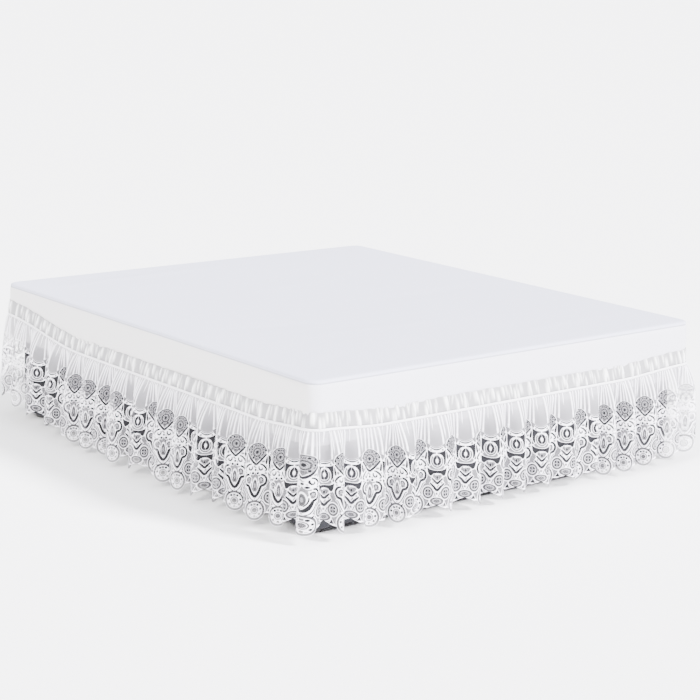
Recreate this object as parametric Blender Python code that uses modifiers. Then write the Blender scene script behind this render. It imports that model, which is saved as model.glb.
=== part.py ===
"""Gathered lace bed skirt on a mattress and bed base.

Metres, +Z up. The bed lies along Y with its foot towards -Y, and the origin is on the floor
under its middle. The skirt is one ring of lace cloth, gathered under an elastic band that grips
the mattress, with a short frill standing on the band.
"""
import math

import bmesh
import bpy
import numpy as np

# Mattress, base and legs
BED_WIDTH = 1.800
BED_LENGTH = 2.000
MATTRESS_TOP = 0.540
MATTRESS_DEPTH = 0.220
CORNER_RADIUS = 0.045
CORNER_SEGMENTS = 6
EDGE_RADIUS = 0.012
EDGE_SEGMENTS = 3
BASE_INSET = 0.040
BASE_DEPTH = 0.295
BASE_EDGE = 0.006
LEG_RADIUS = 0.030
LEG_SIDES = 24
LEG_INSET = (0.100, 0.110)
CONTACT_GAP = 0.0003

# Elastic band
BAND_FOOT = 0.356
BAND_HEIGHT = 0.009
BAND_REACH = 0.0125
BAND_GAP = 0.0005
BAND_CLEARANCE = 0.0006
BAND_STATION = 0.042
# How far the band rides up at each corner, and how far to either side it is back down:
# left foot, right foot, right head, left head
CORNER_LIFTS = (
    (0.018, 0.30),
    (0.018, 0.40),
    (0.030, 0.50),
    (0.057, 0.58),
)

# Heading frill
FRILL_TOP = 0.418
FRILL_FOOT_OUT = 0.0035
FRILL_TOP_OUT = 0.0045
FRILL_THICKNESS = 0.0014
FRILL_ROUNDS = 31
# Six gathers, repeated round the bed. Columns: share of the width, how far the crest stands out
# at the foot and at the top of the frill, how much higher than the mean its top edge is
FRILL_GATHERS = (
    (0.90, 0.0045, 0.0100, 0.0010),
    (1.20, 0.0060, 0.0125, -0.0015),
    (0.75, 0.0040, 0.0085, 0.0020),
    (1.05, 0.0055, 0.0140, 0.0000),
    (1.30, 0.0050, 0.0110, -0.0020),
    (0.80, 0.0045, 0.0095, 0.0015),
)

# Lace skirt
SKIRT_THICKNESS = 0.0016
SKIRT_TOP_OUT = 0.0060
LACE_REPEAT = 0.166
FIRST_CREST_LACE = 0.41
VALLEY_OUT = 0.0100
LEAST_OUT = 0.0060
LEAST_DEPTH = 0.006
MOST_DEPTH = 0.064
VALLEY_SHARPNESS = 1.4
TOP_FULLNESS = 0.10
FLARE_POWER = 3.5
FOLD_STEPS = 24

# Folds along the foot of the bed. Columns: where each crest stands, from the middle of the left
# corner, and how many lace repeats the cloth takes up from the crest before it
FOOT_FOLDS = (
    (0.076, 0.89),
    (0.168, 0.80),
    (0.252, 0.56),
    (0.355, 1.04),
    (0.528, 1.45),
    (0.674, 1.04),
    (0.779, 0.96),
    (0.886, 0.91),
    (1.000, 0.95),
    (1.136, 1.02),
    (1.264, 0.87),
    (1.342, 0.75),
    (1.437, 0.96),
    (1.553, 1.03),
    (1.678, 1.02),
)
# Folds along a long side, from the middle of the foot corner to the head. Columns as above
SIDE_FOLDS = (
    (0.008, 1.04),
    (0.077, 0.72),
    (0.139, 0.45),
    (0.265, 1.06),
    (0.407, 1.05),
    (0.457, 0.49),
    (0.561, 1.02),
    (0.696, 1.43),
    (0.806, 1.03),
    (0.955, 1.47),
    (1.116, 1.48),
    (1.222, 1.12),
    (1.321, 0.85),
    (1.438, 1.16),
    (1.566, 1.30),
    (1.712, 1.15),
    (1.853, 1.36),
    (1.965, 0.81),
)

# One lace repeat has an eye column and a leaf column. Columns: the half width of the eye gap and
# of the leaf gap, and the drop below the band of four points across the repeat, which are the eye
# axis, the eye edge, the leaf edge and the leaf axis
LACE_ROWS = (
    (0.0277, 0.0277, 0.0000, 0.0000, 0.0000, 0.0000),
    (0.0140, 0.0220, 0.1260, 0.1340, 0.1160, 0.1340),
    (0.0140, 0.0220, 0.1600, 0.1520, 0.1290, 0.1490),
    (0.0320, 0.0220, 0.1790, 0.1740, 0.2150, 0.2400),
    (0.0200, 0.0220, 0.1930, 0.1920, 0.2270, 0.2560),
    (0.0277, 0.0277, 0.2970, 0.3040, 0.3180, 0.3300),
)
POINTS_PER_REPEAT = 6
OPEN_ROWS = (1, 3)
SOLID_COLUMNS = (1, 4)

MATERIALS = {
    # name: (base colour, roughness, metallic)
    "white_lace": ((0.86, 0.85, 0.88), 0.80, 0.0),
    "frill_cotton": ((0.83, 0.82, 0.86), 0.85, 0.0),
    "elastic_white": ((0.80, 0.80, 0.84), 0.70, 0.0),
    "cover_white": ((0.80, 0.80, 0.85), 0.85, 0.0),
    "base_grey": ((0.30, 0.30, 0.31), 0.75, 0.0),
    "leg_black": ((0.05, 0.05, 0.05), 0.45, 0.0),
}

PARTS = bpy.data.collections.new("bed_skirt_on_bed")


def clear_scene():
    for thing in list(bpy.data.objects):
        bpy.data.objects.remove(thing, do_unlink=True)
    bpy.context.scene.collection.children.link(PARTS)


def make_material(name):
    colour, roughness, metallic = MATERIALS[name]
    material = bpy.data.materials.new(name)
    material.use_nodes = True
    shader = material.node_tree.nodes["Principled BSDF"]
    shader.inputs["Base Color"].default_value = (*colour, 1.0)
    shader.inputs["Roughness"].default_value = roughness
    shader.inputs["Metallic"].default_value = metallic
    return material


def add_part(name, shape, material_name, place=(0.0, 0.0, 0.0)):
    """Turn a bmesh into a named object of the collection, with its own material."""
    mesh = bpy.data.meshes.new(name)
    shape.to_mesh(mesh)
    shape.free()
    mesh.materials.append(make_material(material_name))
    part = bpy.data.objects.new(name, mesh)
    part.location = place
    PARTS.objects.link(part)
    return part


def smooth(part, sharp_degrees):
    part.data.shade_smooth()
    part.data.set_sharp_from_angle(angle=math.radians(sharp_degrees))


def thicken(part, thickness):
    """Give an open cloth surface its thickness, half to each side."""
    wall = part.modifiers.new("Thickness", "SOLIDIFY")
    wall.thickness = thickness
    wall.offset = 0.0
    wall.use_rim = True


# ---------------------------------------------------------------- the way round the mattress

HALF_ARC = math.pi / 4 * CORNER_RADIUS
SIDE_SPANS = tuple(size - 2 * CORNER_RADIUS for size in (BED_WIDTH, BED_LENGTH) * 2)
SIDE_STARTS = tuple(np.cumsum([0.0] + [span + 2 * HALF_ARC for span in SIDE_SPANS]))
ROUND_LENGTH = SIDE_STARTS[-1]


def outline(along, out):
    """X and Y of points some way round the mattress, counted from the middle of its left foot
    corner and counterclockwise, and some way out from its side."""
    along = np.mod(along, ROUND_LENGTH)
    side = np.searchsorted(SIDE_STARTS, along, side="right") - 1
    span = np.array(SIDE_SPANS)[side]
    run = along - np.array(SIDE_STARTS)[side] - HALF_ARC
    straight = np.clip(run, 0.0, span)
    turn = (run - straight) / CORNER_RADIUS
    heading = side * math.pi / 2
    forward = np.stack([np.cos(heading), np.sin(heading)])
    outward = np.stack([np.sin(heading), -np.cos(heading)])
    half_depth = np.where(side % 2 == 0, BED_LENGTH, BED_WIDTH) / 2 - CORNER_RADIUS
    centre = (straight - span / 2) * forward + half_depth * outward
    return centre + (CORNER_RADIUS + out) * (np.cos(turn) * outward + np.sin(turn) * forward)


def lift(along):
    """How far the band rides up at points round the mattress."""
    rise = np.zeros_like(along)
    for corner, (height, reach) in zip(SIDE_STARTS, CORNER_LIFTS):
        away = np.mod(along - corner + ROUND_LENGTH / 2, ROUND_LENGTH) - ROUND_LENGTH / 2
        rise += height * (0.5 + 0.5 * np.cos(math.pi * np.clip(away / reach, -1.0, 1.0)))
    return rise


# ---------------------------------------------------------------- folds

def ring_of_folds():
    """Crests and lace counts of the whole ring, counterclockwise: foot, right, head, left."""
    mirrored = []
    counts = [laces for _, laces in SIDE_FOLDS] + [SIDE_FOLDS[-1][1]]
    for index in range(len(SIDE_FOLDS) - 1, -1, -1):
        mirrored.append((SIDE_STARTS[2] - SIDE_STARTS[1] - SIDE_FOLDS[index][0],
                         counts[index + 1]))
    crests = []
    laces = []
    for side, rows in enumerate((FOOT_FOLDS, SIDE_FOLDS, FOOT_FOLDS, mirrored)):
        for crest, count in rows:
            crests.append(SIDE_STARTS[side] + crest)
            laces.append(count)
    # the lace closes on itself: the hidden head side takes up what is left of a repeat
    head = slice(len(FOOT_FOLDS) + len(SIDE_FOLDS), 2 * len(FOOT_FOLDS) + len(SIDE_FOLDS))
    laces = np.array(laces)
    laces[head] += (round(laces.sum()) - laces.sum()) / len(FOOT_FOLDS)
    return np.array(crests), laces


def fold_depth(pitch, cloth):
    """How deep a fold hangs when this much cloth lies between two crests."""
    phase = np.linspace(0.0, 1.0, FOLD_STEPS + 1)
    depths = np.linspace(LEAST_DEPTH, MOST_DEPTH, 28)
    dips = np.diff(dip(phase))
    lengths = [np.hypot(pitch / FOLD_STEPS, depth * dips).sum() for depth in depths]
    return float(np.interp(cloth, lengths, depths))


def dip(phase):
    """Share of the fold's depth, from 0 on a crest to 1 in the valley."""
    return (0.5 - 0.5 * np.cos(2 * math.pi * phase)) ** VALLEY_SHARPNESS


def fold_map():
    """Three tables that run round the ring: lace repeats, way round, and how far out the cloth
    hangs at its hem."""
    crests, laces = ring_of_folds()
    count = len(crests)
    pitches = np.diff(np.append(crests, crests[0] + ROUND_LENGTH))
    to_next = np.roll(laces, -1)
    depths = np.array([fold_depth(p, n * LACE_REPEAT) for p, n in zip(pitches, to_next)])
    crest_out = VALLEY_OUT + (depths + np.roll(depths, 1)) / 2
    phase = np.arange(FOLD_STEPS) / FOLD_STEPS
    lace, way, out = [], [], []
    lace_at_crest = FIRST_CREST_LACE
    for fold in range(count):
        line = crest_out[fold] * (1 - phase) + crest_out[(fold + 1) % count] * phase
        fold_out = np.maximum(line - depths[fold] * dip(phase), LEAST_OUT)
        steps = np.hypot(pitches[fold] / FOLD_STEPS, np.diff(fold_out, append=line[-1]))
        share = np.append(0.0, np.cumsum(steps))[:-1] / steps.sum()
        lace.extend(lace_at_crest + share * to_next[fold])
        way.extend(crests[fold] + phase * pitches[fold])
        out.extend(fold_out)
        lace_at_crest += to_next[fold]
    repeats = round(laces.sum())
    lace, way, out = np.array(lace), np.array(way), np.array(out)
    lace = np.concatenate([lace - repeats, lace, lace + repeats])
    way = np.concatenate([way - ROUND_LENGTH, way, way + ROUND_LENGTH])
    return repeats, lace, way, np.tile(out, 3)


def hang(lace_at, drop, folds, full_drop):
    """World points of the hanging cloth, from a place in lace repeats and a drop."""
    _, lace, way, out = folds
    along = np.interp(lace_at, lace, way)
    hem_out = np.interp(lace_at, lace, out)
    flare = 1 - (1 - np.clip(drop / full_drop, 0.0, 1.0)) ** FLARE_POWER
    spread = TOP_FULLNESS + (1 - TOP_FULLNESS) * flare
    reach = SKIRT_TOP_OUT + (hem_out - SKIRT_TOP_OUT) * spread
    x, y = outline(along, reach)
    return np.stack([x, y, BAND_FOOT - BAND_CLEARANCE - drop + lift(along)])


# ---------------------------------------------------------------- the pieces

def cloth_grid(columns, rows, place):
    """A grid of cloth whose points are put in their places, joined into a closed ring."""
    shape = bmesh.new()
    bmesh.ops.create_grid(shape, x_segments=columns, y_segments=rows, size=0.5)
    stations = [(round((v.co.x + 0.5) * columns), round((0.5 - v.co.y) * rows))
                for v in shape.verts]
    column, row = np.array(stations).T
    for vert, point in zip(shape.verts, place(column, row).T):
        vert.co = point
    return shape


def close_ring(shape):
    bmesh.ops.remove_doubles(shape, verts=shape.verts, dist=0.00005)
    bmesh.ops.recalc_face_normals(shape, faces=shape.faces)
    return shape


def open_lace(shape, columns, rows):
    """Leave out the faces of the largest gaps: two faces wide, either side of each axis."""
    gaps = []
    for face in shape.faces:
        corners = [vert.index for vert in face.verts]
        column = min(index % (columns + 1) for index in corners)
        row = rows - 1 - min(index // (columns + 1) for index in corners)
        if row in OPEN_ROWS and column % POINTS_PER_REPEAT not in SOLID_COLUMNS:
            gaps.append(face)
    bmesh.ops.delete(shape, geom=gaps, context="FACES_ONLY")


def make_lace_skirt():
    folds = fold_map()
    columns = folds[0] * POINTS_PER_REPEAT
    rows = len(LACE_ROWS) - 1
    table = np.array(LACE_ROWS)
    full_drop = table[-1].max()

    def place(column, row):
        eye_half, leaf_half = table[row, 0] / LACE_REPEAT, table[row, 1] / LACE_REPEAT
        step = column % POINTS_PER_REPEAT
        shift = np.choose(step, [0 * eye_half, eye_half, 0.5 - leaf_half, 0.5 + 0 * eye_half,
                                 0.5 + leaf_half, 1 - eye_half])
        drop = table[row, 2 + np.array((0, 1, 2, 3, 2, 1))[step]]
        return hang(column // POINTS_PER_REPEAT + shift, drop, folds, full_drop)

    shape = cloth_grid(columns, rows, place)
    shape.verts.index_update()
    open_lace(shape, columns, rows)
    skirt = add_part("lace_skirt", close_ring(shape), "white_lace")
    thicken(skirt, SKIRT_THICKNESS)
    smooth(skirt, 60)
    return skirt


def make_heading_frill():
    widths, foot_crest, top_crest, rise = np.array(FRILL_GATHERS).T
    gathers = FRILL_ROUNDS * len(FRILL_GATHERS)
    starts = np.append(0.0, np.cumsum(np.tile(widths, FRILL_ROUNDS)))
    starts *= ROUND_LENGTH / starts[-1]
    middles = (starts[:-1] + starts[1:]) / 2
    foot = BAND_FOOT + BAND_HEIGHT + BAND_CLEARANCE

    def place(column, row):
        gather = (column // 2) % gathers
        crest = column % 2 == 1
        kind = gather % len(FRILL_GATHERS)
        along = np.where(crest, middles[gather], starts[column // 2])
        foot_out = FRILL_FOOT_OUT + np.where(crest, foot_crest[kind], 0.0)
        top_out = FRILL_TOP_OUT + np.where(crest, top_crest[kind], 0.0)
        out = np.where(row == 0, top_out, foot_out)
        height = np.where(row == 0, FRILL_TOP + np.where(crest, rise[kind], 0.0), foot)
        x, y = outline(along, out)
        return np.stack([x, y, height + lift(along)])

    frill = add_part("heading_frill", close_ring(cloth_grid(2 * gathers, 1, place)),
                     "frill_cotton")
    thicken(frill, FRILL_THICKNESS)
    smooth(frill, 60)
    return frill


def rounded_block(width, length, height, corner, corner_segments, edge, edge_segments):
    """A block on Z = 0 with rounded upright corners and softer top and bottom edges."""
    shape = bmesh.new()
    bmesh.ops.create_cube(shape, size=1.0)
    for vert in shape.verts:
        vert.co = (vert.co.x * width, vert.co.y * length, (vert.co.z + 0.5) * height)
    upright = [e for e in shape.edges if abs(e.verts[0].co.z - e.verts[1].co.z) > height / 2]
    bmesh.ops.bevel(shape, geom=upright, offset=corner, segments=corner_segments, profile=0.5,
                    affect="EDGES")
    flat = [f for f in shape.faces if abs(f.normal.z) > 0.9]
    rims = list({e for f in flat for e in f.edges})
    bmesh.ops.bevel(shape, geom=rims, offset=edge, segments=edge_segments, profile=0.5,
                    affect="EDGES")
    return shape


def make_elastic_band():
    """A flat tape on edge round the mattress: four loops of the rounded outline, bridged."""
    corner_steps = np.linspace(-HALF_ARC, HALF_ARC, CORNER_SEGMENTS + 1)
    along = []
    for start, span in zip(SIDE_STARTS, SIDE_SPANS):
        stations = round(span / BAND_STATION)
        along.extend(start + corner_steps)
        along.extend(start + HALF_ARC + span * np.arange(1, stations) / stations)
    along = np.array(along)
    loops = ((BAND_GAP, 0.0), (BAND_REACH, 0.0), (BAND_REACH, BAND_HEIGHT),
             (BAND_GAP, BAND_HEIGHT))
    columns = len(along)

    def place(column, row):
        out, height = np.array([loops[index % len(loops)] for index in row]).T
        way = along[column % columns]
        x, y = outline(way, out)
        return np.stack([x, y, BAND_FOOT + height + lift(way)])

    band = add_part("elastic_band", close_ring(cloth_grid(columns, len(loops), place)),
                    "elastic_white")
    smooth(band, 40)
    return band


def make_mattress():
    mattress = add_part(
        "mattress",
        rounded_block(BED_WIDTH, BED_LENGTH, MATTRESS_DEPTH, CORNER_RADIUS, CORNER_SEGMENTS,
                      EDGE_RADIUS, EDGE_SEGMENTS),
        "cover_white", (0.0, 0.0, MATTRESS_TOP - MATTRESS_DEPTH))
    smooth(mattress, 40)
    return mattress


def make_bed_base():
    width, length = BED_WIDTH - 2 * BASE_INSET, BED_LENGTH - 2 * BASE_INSET
    top = MATTRESS_TOP - MATTRESS_DEPTH - CONTACT_GAP
    base = add_part(
        "bed_base",
        rounded_block(width, length, BASE_DEPTH, CORNER_RADIUS - BASE_EDGE, CORNER_SEGMENTS,
                      BASE_EDGE, 2),
        "base_grey", (0.0, 0.0, top - BASE_DEPTH))
    smooth(base, 40)
    return top - BASE_DEPTH


def make_legs(base_foot):
    height = base_foot - CONTACT_GAP
    reach_x, reach_y = BED_WIDTH / 2 - LEG_INSET[0], BED_LENGTH / 2 - LEG_INSET[1]
    places = [(x, y) for y in (-reach_y, 0.0, reach_y) for x in (-reach_x, reach_x)]
    for number, (x, y) in enumerate(places, 1):
        shape = bmesh.new()
        bmesh.ops.create_cone(shape, cap_ends=True, segments=LEG_SIDES, radius1=LEG_RADIUS,
                              radius2=LEG_RADIUS, depth=height)
        leg = add_part(f"leg_{number}", shape, "leg_black", (x, y, height / 2))
        smooth(leg, 40)


def main():
    clear_scene()
    make_mattress()
    make_legs(make_bed_base())
    make_elastic_band()
    make_heading_frill()
    make_lace_skirt()


main()
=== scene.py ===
"""Lace bed skirt on a covered mattress: the visible cloth, its materials, the light and the camera.

Laid out as an add-on with one operator for each piece. Lengths are in metres, +Z is up, and the
bed lies along Y with its foot towards -Y. The lace pattern is drawn in millimetres.
"""

import math

import bmesh
import bpy
import numpy as np
from bpy.props import FloatProperty, FloatVectorProperty, PointerProperty
from mathutils import Euler, Matrix, Vector, geometry


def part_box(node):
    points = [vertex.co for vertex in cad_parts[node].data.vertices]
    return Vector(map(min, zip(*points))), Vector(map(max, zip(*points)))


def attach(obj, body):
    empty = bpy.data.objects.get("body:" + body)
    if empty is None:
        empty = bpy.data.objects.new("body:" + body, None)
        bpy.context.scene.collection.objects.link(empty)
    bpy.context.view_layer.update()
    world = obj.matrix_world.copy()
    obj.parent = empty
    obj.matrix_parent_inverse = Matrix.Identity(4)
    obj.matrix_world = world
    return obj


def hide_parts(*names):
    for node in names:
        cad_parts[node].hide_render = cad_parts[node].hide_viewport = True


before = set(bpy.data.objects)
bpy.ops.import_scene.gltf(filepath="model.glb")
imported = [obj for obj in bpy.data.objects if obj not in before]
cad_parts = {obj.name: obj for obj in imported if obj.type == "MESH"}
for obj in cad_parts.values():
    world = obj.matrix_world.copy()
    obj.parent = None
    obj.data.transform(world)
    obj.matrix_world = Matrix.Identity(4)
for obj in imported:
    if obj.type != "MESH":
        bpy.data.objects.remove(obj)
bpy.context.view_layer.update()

bl_info = {
    "name": "Lace bed skirt",
    "version": (1, 0, 0),
    "blender": (4, 5, 0),
    "location": "3D View > Sidebar > Bed skirt",
    "description": "Builds a gathered lace bed skirt on a covered mattress",
    "category": "Object",
}

# ---------------------------------------------------------------- sizes read from the frame

MATTRESS_LOW, MATTRESS_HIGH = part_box("mattress")
BED_WIDTH = MATTRESS_HIGH[0] - MATTRESS_LOW[0]
BED_LENGTH = MATTRESS_HIGH[1] - MATTRESS_LOW[1]
CORNER_RADIUS = 0.045
BAND_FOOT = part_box("elastic_band")[0][2]
BAND_HEIGHT = 0.009
BAND_CLEARANCE = 0.0006
BAND_STEPS = 1500
# Section of the band. Columns: how far out from the mattress, and the share of the height
BAND_SECTION = (
    (0.0062, 0.10), (0.0088, -0.04), (0.0106, 0.14), (0.0114, 0.50),
    (0.0106, 0.86), (0.0088, 1.04), (0.0062, 0.90), (0.0056, 0.50),
)
FRILL_TOP = 0.418
# How far the band rides up at each corner, and how far to either side it is back down:
# left foot, right foot, right head, left head
CORNER_LIFTS = (
    (0.018, 0.30),
    (0.018, 0.40),
    (0.030, 0.50),
    (0.057, 0.58),
)

# ---------------------------------------------------------------- folds, as the skirt's solid has

LACE_REPEAT = 0.166
FULL_DROP = 0.330
CLOTH_DROP = 0.340
FIRST_CREST_LACE = 0.41
SKIRT_TOP_OUT = 0.0060
VALLEY_OUT = 0.0100
LEAST_OUT = 0.0060
LEAST_DEPTH = 0.006
MOST_DEPTH = 0.064
VALLEY_SHARPNESS = 1.4
TOP_FULLNESS = 0.10
FLARE_POWER = 3.5
FOLD_STEPS = 48

# Folds along the foot of the bed. Columns: where each crest stands, from the middle of the left
# corner, and how many lace repeats the cloth takes up from the crest before it
FOOT_FOLDS = (
    (0.076, 0.89),
    (0.168, 0.80),
    (0.252, 0.56),
    (0.355, 1.04),
    (0.528, 1.45),
    (0.674, 1.04),
    (0.779, 0.96),
    (0.886, 0.91),
    (1.000, 0.95),
    (1.136, 1.02),
    (1.264, 0.87),
    (1.342, 0.75),
    (1.437, 0.96),
    (1.553, 1.03),
    (1.678, 1.02),
)
# Folds along a long side, from the middle of the foot corner to the head. Columns as above
SIDE_FOLDS = (
    (0.008, 1.04),
    (0.077, 0.72),
    (0.139, 0.45),
    (0.265, 1.06),
    (0.407, 1.05),
    (0.457, 0.49),
    (0.561, 1.02),
    (0.696, 1.43),
    (0.806, 1.03),
    (0.955, 1.47),
    (1.116, 1.48),
    (1.222, 1.12),
    (1.321, 0.85),
    (1.438, 1.16),
    (1.566, 1.30),
    (1.712, 1.15),
    (1.853, 1.36),
    (1.965, 0.81),
)

# Fine gathers under the band, in each lace repeat. Columns: where the crest starts, from the eye
# axis, and how wide it is, in shares of the repeat; how far it stands out and how far down it
# runs, in metres; how far it slants on its way, in shares of the repeat
GATHERS = (
    (-0.415, 0.034, 0.0072, 0.100, 0.040),
    (-0.310, 0.028, 0.0056, 0.120, 0.050),
    (-0.205, 0.036, 0.0084, 0.150, 0.020),
    (-0.040, 0.022, 0.0042, 0.045, -0.020),
    (0.195, 0.036, 0.0080, 0.145, -0.026),
    (0.290, 0.026, 0.0050, 0.080, -0.050),
    (0.395, 0.034, 0.0070, 0.115, -0.012),
    (0.500, 0.028, 0.0058, 0.090, 0.010),
)
GATHER_WAVER = 0.35

# The frill and the cloth right under the band are puckered by rows of short ridges. Columns:
# how many go round the bed, how far they stand out, their half width, how far they lean
# towards the near corner, and the shares of the height at which they start, peak and end
FRILL_RIDGES = (
    (281, 0.0082, 0.0050, 0.018, 0.10, 0.66, 1.20),
    (254, 0.0072, 0.0052, 0.012, -0.30, 0.26, 0.84),
    (131, 0.0046, 0.0034, -0.008, 0.30, 0.80, 1.20),
)
FRILL_FOOT_OUT = 0.0060
FRILL_TOP_OUT = 0.0016
FRILL_LAP = 0.0006
FRILL_CREST = 0.0070
FRILL_STEPS = 2800
FRILL_ROWS = 11
# The frill's top edge: how much of its ridges shows in its height, how far it lies under its full
# height, and how high its small waves are; and the waves' rates round the bed and their starts
EDGE_FULLNESS = 0.30
EDGE_FALL = 0.0012
EDGE_WAVE = 0.0009
EDGE_WAVES = ((61.0, 0.0), (143.7, 1.3))
SEWN_OUT = 0.0088
SEWN_FADE = 0.020

# ---------------------------------------------------------------- the lace, in millimetres

MM = 0.001
REPEAT_MM = LACE_REPEAT / MM
LEAF_AXIS = REPEAT_MM / 2
NET_PITCH = 3.4

# Ribbons are gaps along a smooth path. Columns: the axis that x counts from, whether the ribbon is
# repeated on the other side of that axis, its width at the start, middle and end, and its path
RIBBONS = (
    # the swag over the eye, and the two chevrons under it
    ("eye", False, (3.0, 5.4, 3.0),
     ((-27.0, 98.0), (-14.0, 104.5), (0.0, 107.0), (14.0, 104.5), (27.0, 98.0))),
    ("eye", False, (6.0, 9.2, 6.0),
     ((-20.0, 205.0), (-10.0, 214.5), (0.0, 222.0), (10.0, 214.5), (20.0, 205.0))),
    ("eye", False, (6.0, 10.4, 6.0),
     ((-26.5, 222.0), (-13.0, 234.0), (0.0, 246.0), (13.0, 234.0), (26.5, 222.0))),
    ("eye", True, (2.6, 3.8, 2.6), ((4.6, 269.0), (9.4, 259.5), (11.4, 250.5))),
    # the V over the leaf, its volutes and their curls
    ("leaf", False, (6.4, 8.4, 6.4),
     ((-39.0, 107.0), (-21.0, 125.0), (-8.0, 136.5), (0.0, 142.0), (8.0, 136.5), (21.0, 125.0),
      (39.0, 107.0))),
    ("leaf", True, (4.4, 7.4, 4.4),
     ((15.5, 141.0), (24.0, 143.5), (33.0, 150.0), (40.0, 161.0), (32.5, 166.0))),
    ("leaf", True, (4.0, 6.2, 4.0),
     ((12.5, 148.0), (11.5, 154.5), (17.0, 161.5), (25.0, 158.5), (22.0, 153.5))),
    # the leaf's outline, and the curls of its side lobes
    ("leaf", False, (7.4, 10.4, 7.4),
     ((-20.0, 177.0), (-32.0, 180.5), (-39.5, 191.0), (-39.0, 203.0), (-32.5, 212.5),
      (-22.0, 216.0), (-17.0, 227.0), (-11.5, 239.5), (-5.0, 249.0), (0.0, 252.0),
      (5.0, 249.0), (11.5, 239.5), (17.0, 227.0), (22.0, 216.0), (32.5, 212.5),
      (39.0, 203.0), (39.5, 191.0), (32.0, 180.5), (20.0, 177.0))),
    ("leaf", True, (2.8, 4.6, 2.8),
     ((25.0, 200.5), (28.0, 193.0), (21.5, 187.0), (14.5, 190.0), (15.5, 198.0))),
    ("leaf", True, (2.4, 3.4, 2.4),
     ((11.4, 205.0), (11.6, 213.0), (8.6, 225.0), (3.2, 236.0))),
    # lines beside the leaf and slits over the medallion
    ("leaf", True, (3.0, 4.2, 3.0),
     ((37.5, 222.0), (30.0, 226.5), (26.0, 237.0), (20.5, 248.0), (12.5, 260.0),
      (4.4, 265.0))),
    ("leaf", True, (3.6, 5.4, 3.6), ((16.5, 276.5), (20.0, 270.5), (24.5, 265.5))),
)
# Patches are gaps with a smooth closed outline. Columns: axis, repeated on its other side, outline
PATCHES = (
    # halves of the eye's oval, left round its dot
    ("eye", True, ((0.7, 125.0), (6.5, 127.0), (11.8, 132.0), (15.6, 139.3), (16.2, 147.0),
                   (13.8, 154.6), (8.4, 160.0), (0.7, 161.6), (0.7, 152.4), (3.2, 150.8),
                   (4.9, 147.4), (5.2, 143.4), (4.2, 139.8), (2.4, 137.6), (0.7, 137.0))),
    # halves of the hood over its ring
    ("eye", True, ((37.6, 107.0), (28.0, 111.6), (16.0, 115.0), (2.4, 116.6), (2.2, 120.8),
                   (10.0, 121.2), (18.0, 125.2), (23.8, 132.5), (26.0, 142.5), (25.4, 151.5),
                   (25.8, 160.5), (32.0, 155.5), (35.4, 147.0), (36.8, 136.0), (37.2, 125.0),
                   (37.4, 116.0))),
    # the crown under its ring
    ("eye", False, ((-38.0, 168.5), (-28.0, 173.6), (-16.0, 176.8), (0.0, 177.8), (16.0, 176.8),
                    (28.0, 173.6), (38.0, 168.5), (36.6, 180.0), (33.5, 190.0), (28.0, 196.6),
                    (20.5, 196.0), (14.5, 190.4), (8.0, 188.2), (0.0, 187.2), (-8.0, 188.2),
                    (-14.5, 190.4), (-20.5, 196.0), (-28.0, 196.6), (-33.5, 190.0),
                    (-36.6, 180.0))),
    # gussets beside the volutes, and wedges between the V and the hood
    ("leaf", True, ((46.0, 149.0), (48.6, 155.5), (52.8, 161.0), (50.0, 164.6), (46.2, 163.6),
                    (45.0, 157.0))),
    ("leaf", True, ((40.0, 113.5), (43.4, 117.5), (44.0, 128.0), (42.6, 138.0), (38.5, 143.0),
                    (34.5, 137.5), (36.5, 125.5))),
)
# Round gaps. Columns: axis, repeated on its other side, centre x and y, half width, half height,
# number of sides
DOTS = (
    ("eye", False, 0.0, 202.6, 4.6, 5.8, 6),
    ("eye", True, 29.5, 299.4, 11.0, 10.4, 3),
    ("eye", True, 27.6, 250.6, 4.5, 4.7, 6),
    ("eye", True, 38.8, 250.6, 4.5, 4.7, 6),
    ("eye", True, 27.6, 262.2, 4.5, 4.7, 6),
    ("eye", True, 38.8, 262.2, 4.5, 4.7, 6),
    ("leaf", False, 0.0, 161.0, 4.0, 4.8, 6),
    ("leaf", True, 8.6, 172.0, 5.2, 5.0, 6),
    ("leaf", True, 10.3, 281.0, 4.9, 4.9, 6),
    ("leaf", True, 20.4, 294.6, 4.9, 4.9, 6),
    ("leaf", True, 16.0, 312.4, 4.9, 4.9, 6),
    ("leaf", False, 0.0, 319.8, 4.9, 4.9, 6),
    ("leaf", True, 36.0, 95.0, 5.2, 5.2, 6),
    ("leaf", True, 24.5, 84.5, 4.4, 4.0, 6),
    ("leaf", True, 10.0, 79.0, 4.4, 3.8, 6),
    ("leaf", True, 25.5, 101.5, 4.2, 4.6, 6),
    ("leaf", True, 12.0, 118.6, 4.0, 4.6, 6),
    ("leaf", False, 0.0, 101.0, 6.0, 6.4, 8),
)
# Thin open lines round an ellipse. Columns: axis, centre x and y, half width, half height, the
# line's width, and the y it starts and stops at
RINGS = (
    ("eye", 0.0, 145.0, 20.9, 21.2, 5.4, 133.0, 170.0),
    ("eye", 33.2, 256.4, 16.6, 18.2, 7.6, 0.0, 400.0),
    ("leaf", 0.0, 299.0, 31.0, 31.0, 8.4, 0.0, 400.0),
    ("leaf", 0.0, 299.0, 12.0, 12.0, 3.6, 0.0, 400.0),
    ("leaf", 0.0, 214.0, 5.0, 14.5, 4.6, 0.0, 400.0),
    ("leaf", 0.0, 101.0, 15.0, 13.5, 5.6, 0.0, 400.0),
    ("eye", 0.0, 285.0, 20.5, 11.0, 5.6, 0.0, 400.0),
    ("leaf", 0.0, 108.0, 41.0, 37.0, 4.4, 60.0, 93.0),
)
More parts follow.
